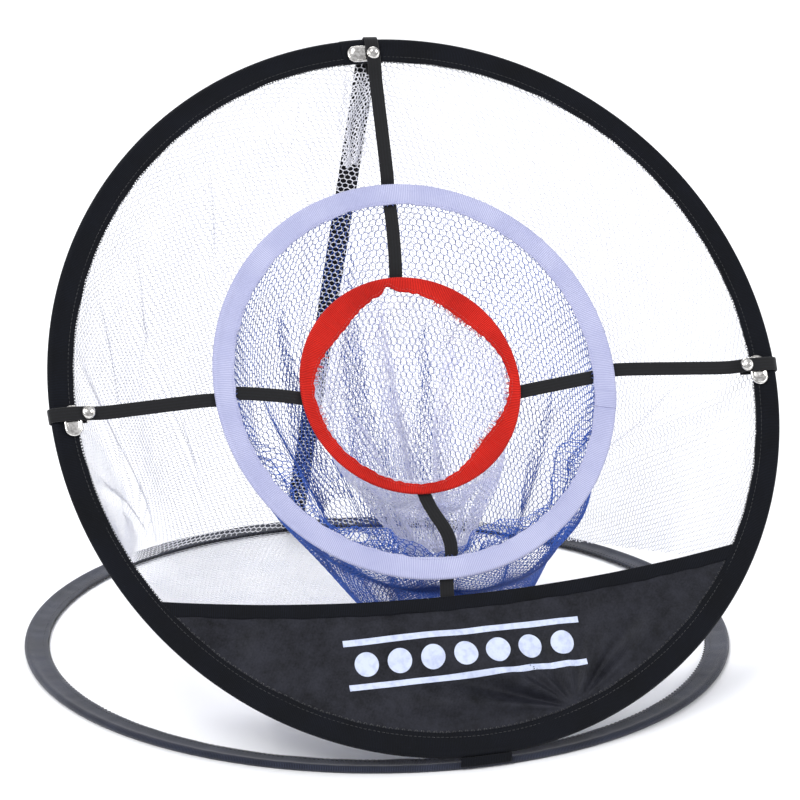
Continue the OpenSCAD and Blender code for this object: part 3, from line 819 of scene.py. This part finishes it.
caps = pressed("press_stud_caps", [((x, v, 5.25), (0, 1)) for x, v in STUDS], 4.55, 4.549, [
    (0.1, 1.25), (0.3, 1.3), (0.42, 1.55), (0.55, 1.9), (0.7, 1.95), (0.84, 1.6), (0.95, 1.0),
    (1.0, 0.5), (0.98, 0.1), (0.9, 0.0), (0.1, 0.0)])
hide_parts("snap_caps")
studs = pressed("press_stud_backs", [((x, v, -4.2), (0, 1)) for x, v in STUDS], 3.75, 3.749, [
    (0.1, -0.85), (0.5, -0.8), (0.6, -0.5), (0.8, -0.5), (0.97, -0.6), (1.0, -0.3), (0.97, 0.0),
    (0.1, 0.0)])
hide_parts("snap_studs")
keeper_places = [((-4.0, 238.6, 2.65), (1, 0)), ((-236.2, -4.0, 2.65), (0, 1)),
                 ((236.6, -9.0, 2.65), (0, 1))]
keepers = pressed("oval_keepers", keeper_places, 10.5, 6.0, [
    (0.1, 0.45), (0.5, 0.4), (0.62, 0.5), (0.74, 1.1), (0.84, 1.45), (0.93, 1.3), (1.0, 0.8),
    (1.0, 0.35), (0.94, 0.0), (0.1, 0.0)])
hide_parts("keepers")

# ---- Outer net -------------------------------------------------------------------------
# Warp-knitted white polyester net with six-sided holes. One piece goes from the hoop's hem
# to the rear of the base hoop, over the sides and the back; another is the floor. Both are
# made here as yarns: zigzag courses, and a doubled yarn between each course and the next.
CELL = 4.3


def yarn(name, main, shade, bounce):
    """Filament polyester: a soft sheen, and slight changes of shade along the yarn."""
    material, tree, shader = new_material(name, Roughness=0.5, **{"Sheen Weight": bounce})
    where = add(tree, "ShaderNodeTexCoord")
    drift = add(tree, "ShaderNodeTexNoise", {"Vector": (where, "Object"), "Scale": 28.0, "Detail": 4.0})
    twist = add(tree, "ShaderNodeTexWave", {"Vector": (where, "Object"), "Scale": 420.0, "Distortion": 2.0},
                bands_direction="DIAGONAL")
    mixed = add(tree, "ShaderNodeMath", {0: (twist, "Fac"), 1: 0.35, 2: (drift, "Fac")}, operation="MULTIPLY_ADD")
    dress(tree, shader, (mixed, "Value"), shade, main, 0.35, 0.85, (twist, "Fac"), 0.1, 0.4)
    return material


knitting, given = new_tree("knitted_yarns", [("Yarn radius", "Float"), ("Material", "Material")])
courses = add(knitting, "GeometryNodeMeshToCurve", {"Mesh": (given, "Geometry")})
round_yarn = add(knitting, "GeometryNodeCurvePrimitiveCircle", {"Resolution": 3, "Radius": (given, "Yarn radius")})
weight = add(knitting, "GeometryNodeInputNamedAttribute", {"Name": "thick"}, data_type="FLOAT")
tubes = add(knitting, "GeometryNodeCurveToMesh", {
    "Curve": (courses, "Curve"), "Profile Curve": (round_yarn, "Curve"), "Scale": (weight, "Attribute"),
    "Fill Caps": True})
finish_tree(knitting, given, (tubes, "Mesh"))


def honeycomb(cells, rows, closed):
    """Courses and joining yarns of a net: places as (share across, share along), the edges,
    and each place's thickness. The joining yarns have ends of their own."""
    zigzag = 0.167
    count = 2 * cells if closed else 2 * cells + 1
    k = np.arange(count)
    places, edges, thick = [], [], []
    for j in range(rows + 1):
        up = np.where((k + j) % 2 == 0, 1, -1)
        first = sum(len(p) for p in places)
        places.append(np.stack([k / (2 * cells), (j + zigzag * up) / rows], -1))
        edges.append(ring_edges(count, first) if closed else ring_edges(count, first)[:-1])
        thick.append(np.ones(count))
    first = sum(len(p) for p in places)
    a, b = [], []
    for j in range(rows):
        at = k[(k + j) % 2 == 0] / (2 * cells)
        a.append(np.stack([at, 0 * at + (j + zigzag) / rows], -1))
        b.append(np.stack([at, 0 * at + (j + 1 - zigzag) / rows], -1))
    a, b = np.concatenate(a), np.concatenate(b)
    pairs = np.arange(len(a))
    edges.append(np.stack([first + pairs, first + len(a) + pairs], -1))
    places += [a, b]
    thick.append(np.full(2 * len(a), 1.3))
    return np.concatenate(places), np.concatenate(edges), np.concatenate(thick)


def keep_edges(points, edges, thick, kept):
    """Only some of the edges, and only the points that they use."""
    edges = edges[kept]
    used = np.unique(edges)
    new = np.zeros(len(points), int)
    new[used] = np.arange(len(used))
    return points[used], new[edges], thick[used]


def knit(name, points, edges, thick, radius_mm, material):
    return grown(name, points * 0.001, edges, knitting, {"Yarn radius": radius_mm / 1000, "Material": material},
                 thick=thick)


white_yarn = yarn("white_filament_polyester", "FCFCFF", "E8EAF4", 0.2)

# The sides and back are straight lines from the hoop to the base hoop's rear arc, laid out
# flat here so that the net's holes keep one size, then put back in place
RULES = 300
MOUTH_RADIUS, REAR_RADIUS = 235.2, 233.4
share = np.linspace(0, 1, RULES + 1)
# It is sewn round the hoop as far as the panel's tape, 137 mm below the middle
end_turn = math.pi - math.acos(137 / 233.2)
mouth_turn = (2 * share - 1) * end_turn
rear_turn = np.radians(42) * (2 * share - 1)
mouth = on_upright(np.stack([MOUTH_RADIUS * np.sin(mouth_turn), MOUTH_RADIUS * np.cos(mouth_turn),
                             0 * share - 1.9], -1)) * 1000
rear = np.stack([REAR_RADIUS * np.sin(rear_turn), REAR_RADIUS * np.cos(rear_turn), 0 * share + 4.1], -1)


def third_corner(a, b, to_a, to_b):
    """The point at two distances from a and b, on the left of the line from a to b."""
    line = b - a
    far = np.linalg.norm(line)
    along = (to_a ** 2 - to_b ** 2 + far ** 2) / (2 * far)
    up = math.sqrt(max(to_a ** 2 - along ** 2, 0))
    line = line / far
    return a + line * along + np.array([-line[1], line[0]]) * up


def gone(p, q):
    """The distance from one point to another."""
    return float(np.linalg.norm(p - q))


flat_mouth, flat_rear = [np.array([0.0, 0.0])], [np.array([0.0, -gone(mouth[0], rear[0])])]
for k in range(RULES):
    next_rear = third_corner(flat_rear[k], flat_mouth[k], gone(rear[k], rear[k + 1]), gone(mouth[k], rear[k + 1]))
    # the flat layout runs to the right, so the corner is mirrored across the line
    line = flat_mouth[k] - flat_rear[k]
    line /= np.linalg.norm(line)
    reach = next_rear - flat_rear[k]
    next_rear = flat_rear[k] + 2 * line * (reach @ line) - reach
    next_mouth = third_corner(flat_mouth[k], next_rear, gone(mouth[k], mouth[k + 1]),
                              gone(rear[k + 1], mouth[k + 1]))
    flat_rear.append(next_rear)
    flat_mouth.append(next_mouth)
flat_mouth, flat_rear = np.array(flat_mouth), np.array(flat_rear)
low = np.minimum(flat_mouth.min(0), flat_rear.min(0))
high = np.maximum(flat_mouth.max(0), flat_rear.max(0))
cells, rows = int((high[0] - low[0]) / CELL), int((high[1] - low[1]) / (CELL * 0.95))
places, edges, thick = honeycomb(cells, rows, False)
flat = low + places * (high - low)


def on_flat(across, along):
    """A place on the flat layout: share across it, and share from the hoop to the rear."""
    a = np.array([np.interp(across, share, flat_mouth[:, k]) for k in (0, 1)])
    b = np.array([np.interp(across, share, flat_rear[:, k]) for k in (0, 1)])
    return a + (b - a) * along


# Creases, where the net is folded over on itself and its holes close up
for start, end, wide in [((0.30, 0.06), (0.235, 0.50), 9), ((0.245, 0.02), (0.19, 0.42), 8),
                         ((0.19, 0.04), (0.13, 0.6), 9), ((0.375, 0.05), (0.36, 0.36), 8),
                         ((0.12, 0.1), (0.075, 0.7), 9), ((0.45, 0.0), (0.435, 0.2), 7),
                         ((0.62, 0.1), (0.66, 0.5), 6), ((0.83, 0.08), (0.88, 0.6), 7)]:
    a, b = on_flat(*start), on_flat(*end)
    line = (b - a) / np.linalg.norm(b - a)
    bow = np.array([-line[1], line[0]])
    far = (flat - a) @ line / np.linalg.norm(b - a)
    off = (flat - a) @ bow - 9 * np.sin(np.pi * np.clip(far, 0, 1))
    ease = np.clip(far / 0.3, 0, 1) * np.clip((1 - far) / 0.4, 0, 1)
    flat = flat - bow * (0.8 * off * np.exp(-(off / wide) ** 2) * ease)[:, None]

run = flat_rear - flat_mouth
turned = ((flat[:, None, 0] - flat_mouth[None, :, 0]) * run[None, :, 1]
          - (flat[:, None, 1] - flat_mouth[None, :, 1]) * run[None, :, 0])
crossing = turned[:, :-1] * turned[:, 1:] <= 0
strip = crossing.argmax(1)
pick = np.arange(len(flat))
part = turned[pick, strip] / (turned[pick, strip] - turned[pick, strip + 1] + 1e-12)


def between(table):
    """A table's value at each place, between the two straight lines on either side of it."""
    return table[strip] * (1 - part)[:, None] + table[strip + 1] * part[:, None]


top2, end2 = between(flat_mouth), between(flat_rear)
way = end2 - top2
down = ((flat - top2) * way).sum(1) / (way ** 2).sum(1)
inside = crossing.any(1) & (down > 0) & (down < 1)
top3, end3 = between(mouth), between(rear)
outer = top3 * (1 - down)[:, None] + end3 * down[:, None]
place = (strip + part) / RULES

# The net hangs a little slack between its sewn edges, with soft folds down from the hoop
inward = np.array([0, 60, 60]) - outer
inward /= np.linalg.norm(inward, axis=1)[:, None]
hang = np.sin(np.pi * np.clip(down, 0, 1))
slack = 3.6 + 2.2 * np.sin(place * 61 + 3 * down) * hang + 1.5 * np.sin(place * 23 - 5 * down + 1)
for at, tilt, deep, wide in [(0.10, 0.05, 5, 0.006), (0.19, -0.04, 7, 0.007), (0.27, 0.03, 4, 0.005),
                             (0.36, 0.05, 5, 0.006), (0.455, 0.02, 6, 0.007), (0.53, -0.02, 5, 0.006),
                             (0.66, -0.05, 4, 0.006), (0.78, 0.04, 5, 0.007), (0.88, -0.03, 4, 0.006)]:
    slack = slack + deep * np.exp(-((place - at - tilt * down) / wide) ** 2)
outer = outer + inward * (slack * hang)[:, None]
# At the lower left the net is pulled taut, which draws its yarns thinner
thick = thick * (0.55 + 0.45 * np.clip((place - 0.13) / 0.08, 0, 1))

for title, half in [("left", place < 0.5), ("right", place >= 0.5)]:
    kept = inside[edges].all(1) & half[edges[:, 0]]
    net = knit("outer_net_" + title, *keep_edges(outer, edges, thick, kept), 0.38, white_yarn)
    if title == "left":
        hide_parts("outer_net")
    bend_with_fold(net)

# A spare end of the net is bunched up behind the top of the hoop, beside the top strap
places, edges, thick = honeycomb(9, 26, False)
a, b = places[:, 0] - 0.5, places[:, 1]
bunch = on_upright(np.stack([-5 + a * (27 - 13 * b) + 1.5 * np.sin(9 * b), 227.6 - 43.6 * b + 1.2 * np.sin(7 * a),
                             -4.6 - 60 * b - 2.5 * np.sin(14 * a + 4 * b)], -1)) * 1000
net = knit("outer_net_gather", bunch, edges, thick, 0.44, white_yarn)
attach(net, "upright")


def dropped(way_back):
    """The floor's share of its fall to the ground: nearly all of it just behind the panel."""
    return 1 - (1 - way_back) ** 14


places, edges, thick = honeycomb(78, 118, False)
rear_x = np.interp(places[:, 0], share, rear[:, 0])
rear_y = np.interp(places[:, 0], share, rear[:, 1])
front_x = (2 * places[:, 0] - 1) * 184
front = on_upright(np.stack([front_x, tape_line(front_x) - 2.0, 0 * front_x - 1.5], -1)) * 1000
steps = np.linspace(0, 1, 200)
length = np.concatenate([[0], np.cumsum(np.hypot(np.diff(steps) * 350, np.diff(dropped(steps)) * 95))])
s = np.clip(np.interp(places[:, 1] * length[-1], length, steps), 0, 1)
drop = dropped(s)
narrow = 1 - 0.5 * drop * (1 - s)
floor = np.stack([(front[:, 0] * (1 - s) + rear_x * s) * narrow, front[:, 1] * (1 - s) + rear_y * s,
                  front[:, 2] * (1 - drop) + 1.3 * drop], -1)
floor[:, 2] += 0.9 * (1 + np.sin(floor[:, 0] / 19) * np.sin(floor[:, 1] / 27)) * np.sin(np.pi * s)
net = knit("outer_net_floor", floor, edges, thick, 0.34, white_yarn)
bend_with_fold(net)

# ---- Ring nets -------------------------------------------------------------------------
# A tube of the same net hangs behind each ring, royal blue behind the middle one and lilac
# behind the red one. Its end is gathered shut, so it falls in folds that start as points.
foot = on_upright(np.array([0.0, -250, 0])) * 1000


def bag(name, centre, radius, floor_z, behind, side, tip, cells, rows, folds, flaps, material, body, replaced,
        yarn_mm):
    """A net tube from a ring to its gathered floor, in a left and a right half. Flaps are
    where it lies folded over on itself, so that more layers of net are seen together."""
    start = on_upright(np.array([centre[0], centre[1], -1.6])) * 1000
    end = np.array([centre[0] + side, foot[1] + (floor_z - foot[2]) / math.tan(lean) + behind, floor_z])

    def surface(phi, s, inside=0):
        """Places on the tube: s is 0 at the ring, 1 at the floor's rim, 1.6 at its middle."""
        t, f = np.clip(s, 0, 1), np.clip((s - 1) / 0.6, 0, 1)
        shrink, pull = 0 * phi, 0 * phi
        for at, wide, begins, deep in folds:
            off = (phi - math.radians(at) + math.pi) % (2 * math.pi) - math.pi
            grow = np.clip((t - begins) / 0.5, 0, 1)
            grow = grow * grow * (3 - 2 * grow)
            spread = math.radians(wide) * (0.12 + 0.88 * grow) + 1e-6
            hill = np.exp(-(off / spread) ** 2)
            shrink = shrink + deep * grow * hill
            pull = pull - 0.45 * off * hill * np.clip(4 * grow, 0, 1)
        phi = phi + pull
        reach = radius * (tip + (1 - tip) * (1 - t ** 2.0)) * (1 - 0.94 * f)
        reach = reach * (1 - np.clip(shrink, 0, 0.62) * (1 - f)) - inside
        tilt = lean * (1 - t) * (1 - 0.4 * t)
        spot = start + (end - start) * t[:, None]
        spot[:, 1] += (end[1] - start[1]) * 0.25 * np.sin(math.pi * t)
        place = spot + reach[:, None] * np.stack([np.cos(phi), np.sin(phi) * np.cos(tilt),
                                                  np.sin(phi) * np.sin(tilt)], -1)
        place[:, 2] += 5 * np.sin(math.pi * f) * (0.4 + 0.6 * np.sin(5 * phi) ** 2)
        return place

    steps = np.linspace(0, 1.6, 200)
    sides = [surface(np.full(len(steps), a), steps) for a in np.linspace(0, 2 * math.pi, 9)[:-1]]
    length = np.mean([np.concatenate([[0], np.cumsum(np.linalg.norm(np.diff(line, axis=0), axis=1))])
                      for line in sides], axis=0)
    places, edges, thick = honeycomb(cells, rows, True)
    s = np.interp(np.clip(places[:, 1], 0, 1) * length[-1], length, steps)
    nets = [[surface(places[:, 0] * 2 * math.pi, s), places[:, 0], edges, thick, np.full(len(edges), True)]]
    for order, (at, wide, begins, ends, shape, layers, lift) in enumerate(flaps):
        for layer in range(layers):
            turn = 2 * math.pi * (places[:, 0] + (0.31 + 0.41 * layer) / cells)
            down = np.interp(np.clip(places[:, 1] + (0.4 + 0.3 * layer) / rows, 0, 1) * length[-1], length, steps)
            off = np.degrees((turn - math.radians(at) + math.pi) % (2 * math.pi) - math.pi)
            along = (down - begins) / (ends - begins)
            width = wide * (along if shape == "peak" else np.sqrt(np.clip(1 - along, 0, 1)))
            edge = width * (1 + 0.16 * np.sin(23 * down + order + 2 * layer))
            kept = ((along > 0) & (along < 1) & (np.abs(off) < edge))[edges].all(1)
            bunch = lift * (0.35 + 0.5 * layer + 0.3 * np.sin(9 * turn + 7 * down + order)
                            + 0.06 * np.sin(31 * turn - 12 * down))
            turn = turn + 0.02 * np.sin(26 * turn + 15 * down + 2 * layer)
            nets.append([surface(turn, down, bunch * np.clip(4 * np.abs(along), 0, 1)), places[:, 0], edges,
                         thick, kept])
    for title in ("left", "right"):
        points, lines, weights, first = [], [], [], 0
        for spots, u, pairs, heavy, kept in nets:
            half = (u > 0.25) & (u <= 0.75)
            chosen = kept & (half[pairs[:, 0]] == (title == "left"))
            p, e, w = keep_edges(spots, pairs, heavy, chosen)
            points.append(p)
            lines.append(e + first)
            weights.append(w)
            first += len(p)
        net = knit(name + "_" + title, np.concatenate(points), np.concatenate(lines),
                   np.concatenate(weights), yarn_mm, material)
        if title == "left":
            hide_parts(replaced)
        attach(net, body)
        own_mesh(net)


# Royal-blue filament polyester: reads as a thin navy line alone and as clear blue in folds
blue_yarn = yarn("royal_blue_filament_polyester", "2B60C4", "123080", 0.0)
blue_folds = [(-100, 20, 0.1, 0.07), (-74, 17, 0.15, 0.06), (-46, 18, 0.1, 0.09), (-22, 14, 0.2, 0.1),
              (-128, 18, 0.1, 0.08), (-153, 16, 0.1, 0.1), (178, 13, 0.25, 0.12), (148, 12, 0.2, 0.16),
              (118, 10, 0.42, 0.14), (92, 9, 0.35, 0.12), (58, 10, 0.5, 0.14), (20, 10, 0.35, 0.12)]
blue_flaps = [(-90, 84, 0.0, 0.15, "band", 2, 20.0), (-54, 24, 0.25, 1.0, "peak", 1, 5.0),
              (-120, 20, 0.3, 1.0, "peak", 1, 5.0),
              (129, 11, 0.16, 0.7, "peak", 2, 3.0), (101, 14, 0.1, 1.0, "peak", 2, 4.0),
              (74, 11, 0.28, 1.0, "peak", 2, 4.0),
              (24, 5, 0.2, 0.7, "peak", 1, 3.0), (180, 12, 0.25, 0.75, "band", 1, 6.0)]
bag("blue_net", (-3, 6), 126, 26, 190, 39, 0.42, 165, 72, blue_folds, blue_flaps, blue_yarn,
    "middle_ring", "middle_net", 0.26)

# Lilac-white filament polyester: the same yarn undyed but for a blue brightener
lilac_yarn = yarn("lilac_white_filament_polyester", "F0F1FF", "CCD0F8", 0.15)
lilac_folds = [(-100, 18, 0.1, 0.3), (-58, 16, 0.12, 0.3), (-18, 13, 0.3, 0.26), (-142, 17, 0.1, 0.3),
               (172, 14, 0.15, 0.3), (136, 18, 0.16, 0.34), (98, 21, 0.04, 0.36), (56, 15, 0.1, 0.34),
               (20, 9, 0.3, 0.26)]
lilac_flaps = [(-90, 70, 0.0, 0.6, "band", 1, 6.0), (98, 30, 0.0, 0.9, "peak", 2, 5.0),
               (52, 16, 0.04, 0.9, "peak", 2, 5.0), (146, 32, 0.1, 1.0, "peak", 1, 4.0),
               (-20, 20, 0.3, 1.0, "peak", 1, 3.0), (-160, 24, 0.1, 1.0, "peak", 1, 4.0)]
bag("lilac_net", (-8, 2), 66, 84, 133, 32, 0.36, 96, 44, lilac_folds, lilac_flaps, lilac_yarn,
    "inner_ring", "inner_net", 0.25)

# ---- Back strap ------------------------------------------------------------------------
# Black polypropylene webbing, 15 mm wide, from the top of the upright hoop to the rear of
# the base hoop, outside the net. It stops the hoop from opening past its leaning place.

# Woven polypropylene webbing: matt black, ribbed across at 1.6 mm, painted darker in its rib grooves as shade, with a
# pale mottle that is part wear and part painted light
webbing = ribbed_tape("black_polypropylene_webbing", "1A1B20", "050507", 1.6, 0.4, 0.1)
top, rear_end = on_upright(np.array([0.0, 232.9, -7.6])) * 1000, np.array([0.0, 233.6, 5.9])
path = [on_upright(np.array([0.0, 243, -5.1])) * 1000, on_upright(np.array([0.0, 237, -5.2])) * 1000, top]
path += [top + (rear_end - top) * k for k in (0.15, 0.4, 0.6, 0.85)]
path += [rear_end, np.array([0.0, 238, 5.6]), np.array([0.0, 245, 5.9])]
middle, length = smooth_path(path, 160)
ahead = np.gradient(middle, axis=0)
ahead /= np.linalg.norm(ahead, axis=1)[:, None]
out = np.cross(ahead, [1.0, 0, 0])
rows = []
for a, b in [(-0.5, 0), (-0.48, 0.4), (-0.2, 0.5), (0.2, 0.5), (0.48, 0.4), (0.5, 0), (0.48, -0.4), (0.2, -0.5),
             (-0.2, -0.5), (-0.48, -0.4)]:
    rows.append(middle + np.array([15.0 * a, 0, 0]) + out * (1.2 * b))
strap = skin("rear_webbing_strap", np.stack(rows, 1) * 0.001, False, True, length / 1000, 0.032, webbing, caps=True)
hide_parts("back_strap")
bend_with_fold(strap)
